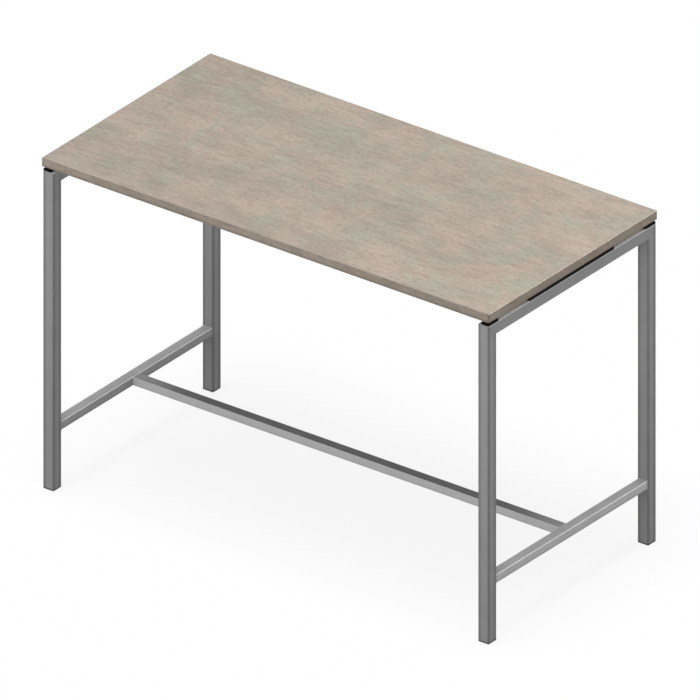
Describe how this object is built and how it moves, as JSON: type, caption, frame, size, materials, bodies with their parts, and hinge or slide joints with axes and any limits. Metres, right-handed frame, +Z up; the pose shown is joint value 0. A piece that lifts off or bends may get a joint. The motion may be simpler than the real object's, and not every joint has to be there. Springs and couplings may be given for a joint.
{
  "type": "standing meeting table",
  "caption": "Standing-height meeting table: rectangular stone-look board on a square-tube frame with low cross rails, a long stretcher and levelling feet.",
  "frame": {"origin": "on the floor, under the centre of the top", "axes": "+X along the long side of the top, +Y along its short side towards the rear, +Z up"},
  "size_m": [1.6, 0.8, 1.07],
  "materials": {
    "board_decor": "stone-look laminate on chipboard, satin",
    "edge_decor": "matching edge band, satin",
    "frame_paint": "metallic grey powder coat, fine grain",
    "beam_paint": "metallic grey powder coat, fine grain",
    "spacer_black": "matt black",
    "foot_plug_black": "matt black, moulded",
    "glide_black": "matt black, moulded",
    "zinc_steel": "zinc plated",
    "black_screws": "black zinc",
    "bare_steel": "plain steel"
  },
  "bodies": {
    "frame": {"tabletop_board": "board_decor", "edge_band_front": "edge_decor", "edge_band_rear": "edge_decor", "edge_band_left": "edge_decor", "edge_band_right": "edge_decor", "leg_front_left": "frame_paint", "leg_rear_left": "frame_paint", "leg_front_right": "frame_paint", "leg_rear_right": "frame_paint", "top_rail_left": "frame_paint", "top_rail_right": "frame_paint", "lower_rail_left": "frame_paint", "lower_rail_right": "frame_paint", "stretcher": "frame_paint", "beam_front": "beam_paint", "beam_rear": "beam_paint", "corner_spacer_front_left": "spacer_black", "corner_spacer_rear_left": "spacer_black", "corner_spacer_front_right": "spacer_black", "corner_spacer_rear_right": "spacer_black", "spacer_strip_left": "spacer_black", "spacer_strip_right": "spacer_black", "beam_pads": "spacer_black", "foot_plug_front_left": "foot_plug_black", "foot_plug_rear_left": "foot_plug_black", "foot_plug_front_right": "foot_plug_black", "foot_plug_rear_right": "foot_plug_black", "foot_nut_front_left": "zinc_steel", "foot_nut_rear_left": "zinc_steel", "foot_nut_front_right": "zinc_steel", "foot_nut_rear_right": "zinc_steel", "top_screws": "black_screws", "lock_screws": "black_screws", "stretcher_socket_left": "bare_steel", "stretcher_socket_right": "bare_steel", "beam_socket_front_left": "bare_steel", "beam_socket_rear_left": "bare_steel", "beam_socket_front_right": "bare_steel", "beam_socket_rear_right": "bare_steel"},
    "foot_front_left": {"glide_front_left": "glide_black"},
    "spindle_front_left": {"stem_front_left": "zinc_steel"},
    "foot_rear_left": {"glide_rear_left": "glide_black"},
    "spindle_rear_left": {"stem_rear_left": "zinc_steel"},
    "foot_front_right": {"glide_front_right": "glide_black"},
    "spindle_front_right": {"stem_front_right": "zinc_steel"},
    "foot_rear_right": {"glide_rear_right": "glide_black"},
    "spindle_rear_right": {"stem_rear_right": "zinc_steel"}
  },
  "joints": [
    {"name": "foot_travel_front_left", "type": "slide", "parent": "frame", "child": "foot_front_left", "axis": [0, 0, -1], "range_m": [0, 0.015]},
    {"name": "foot_turn_front_left", "type": "hinge", "parent": "foot_front_left", "child": "spindle_front_left", "pos_m": [-0.779, -0.379, 0.004], "axis": [0, 0, -1], "range_deg": [0, 4320]},
    {"name": "foot_travel_rear_left", "type": "slide", "parent": "frame", "child": "foot_rear_left", "axis": [0, 0, -1], "range_m": [0, 0.015]},
    {"name": "foot_turn_rear_left", "type": "hinge", "parent": "foot_rear_left", "child": "spindle_rear_left", "pos_m": [-0.779, 0.379, 0.004], "axis": [0, 0, -1], "range_deg": [0, 4320]},
    {"name": "foot_travel_front_right", "type": "slide", "parent": "frame", "child": "foot_front_right", "axis": [0, 0, -1], "range_m": [0, 0.015]},
    {"name": "foot_turn_front_right", "type": "hinge", "parent": "foot_front_right", "child": "spindle_front_right", "pos_m": [0.779, -0.379, 0.004], "axis": [0, 0, -1], "range_deg": [0, 4320]},
    {"name": "foot_travel_rear_right", "type": "slide", "parent": "frame", "child": "foot_rear_right", "axis": [0, 0, -1], "range_m": [0, 0.015]},
    {"name": "foot_turn_rear_right", "type": "hinge", "parent": "foot_rear_right", "child": "spindle_rear_right", "pos_m": [0.779, 0.379, 0.004], "axis": [0, 0, -1], "range_deg": [0, 4320]}
  ],
  "couplings": [
    {"joint": "foot_travel_front_left", "follows": "foot_turn_front_left", "m_per_rad": 0.00019894},
    {"joint": "foot_travel_rear_left", "follows": "foot_turn_rear_left", "m_per_rad": 0.00019894},
    {"joint": "foot_travel_front_right", "follows": "foot_turn_front_right", "m_per_rad": 0.00019894},
    {"joint": "foot_travel_rear_right", "follows": "foot_turn_rear_right", "m_per_rad": 0.00019894}
  ]
}
